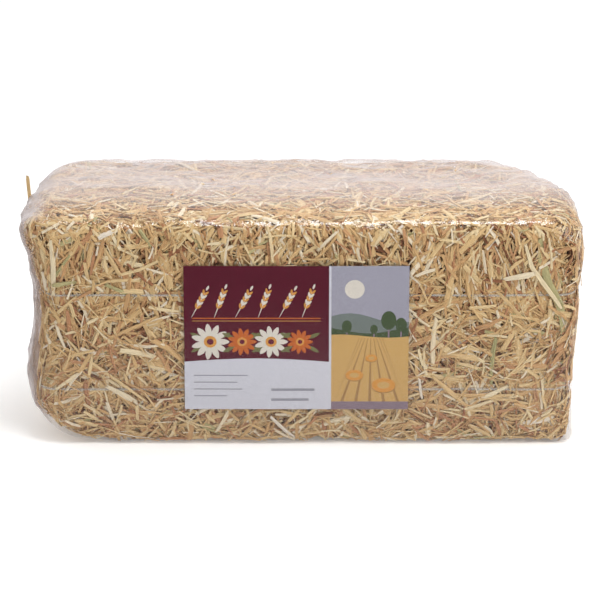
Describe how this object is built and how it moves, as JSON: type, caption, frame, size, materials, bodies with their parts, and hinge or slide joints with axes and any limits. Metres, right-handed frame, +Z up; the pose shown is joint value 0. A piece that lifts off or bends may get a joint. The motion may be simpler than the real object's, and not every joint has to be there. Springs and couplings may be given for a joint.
{
  "type": "straw bale",
  "caption": "Small decorative bale of chopped golden straw, bound with clear bands, wrapped in clear shrink film with a paper label on its long front face; lies flat on its underside.",
  "frame": {"origin": "on the floor under the middle of the wrapped bale", "axes": "+Z up; +X along the length; the labelled face looks towards -Y"},
  "size_m": [0.551, 0.2118, 0.2401],
  "materials": {
    "straw_block": "matte",
    "straw": "satin",
    "straw_pale": "satin",
    "straw_green": "satin",
    "band_plastic": "gloss",
    "label_paper": "satin",
    "shrink_film": "gloss"
  },
  "bodies": {
    "root": {"straw_block": "straw_block", "binding_band_upper": "band_plastic", "binding_band_lower": "band_plastic", "label": "label_paper", "film_wrap": "shrink_film", "stalk_through_film": "straw", "stalk_front_1": "straw_green", "stalk_front_2": "straw", "stalk_front_3": "straw_pale", "stalk_front_4": "straw_green", "stalk_front_5": "straw_green", "stalk_front_6": "straw_pale", "stalk_front_7": "straw", "stalk_front_8": "straw", "stalk_front_9": "straw", "stalk_front_10": "straw_pale", "stalk_front_11": "straw_pale", "stalk_front_12": "straw", "stalk_front_13": "straw", "stalk_front_14": "straw", "stalk_front_15": "straw", "stalk_front_16": "straw", "stalk_front_17": "straw", "stalk_front_18": "straw_green", "stalk_front_19": "straw_pale", "stalk_front_20": "straw_pale", "stalk_front_21": "straw", "stalk_front_22": "straw", "stalk_front_23": "straw", "stalk_front_24": "straw", "stalk_front_25": "straw_pale", "stalk_front_26": "straw_pale", "stalk_front_27": "straw", "stalk_edge_1": "straw", "stalk_edge_2": "straw_pale", "stalk_edge_3": "straw", "stalk_edge_4": "straw_green", "stalk_top_1": "straw", "stalk_top_2": "straw_pale", "stalk_top_3": "straw", "stalk_top_4": "straw", "stalk_top_5": "straw_green", "stalk_top_6": "straw", "stalk_top_7": "straw_pale", "stalk_back_1": "straw", "stalk_back_2": "straw_pale", "stalk_back_3": "straw", "stalk_back_4": "straw", "stalk_back_5": "straw_green", "stalk_back_6": "straw", "stalk_back_7": "straw_pale", "stalk_back_8": "straw", "stalk_left_1": "straw", "stalk_left_2": "straw_pale", "stalk_left_3": "straw", "stalk_left_4": "straw", "stalk_right_1": "straw", "stalk_right_2": "straw_pale", "stalk_right_3": "straw", "stalk_right_4": "straw"}
  },
  "joints": []
}
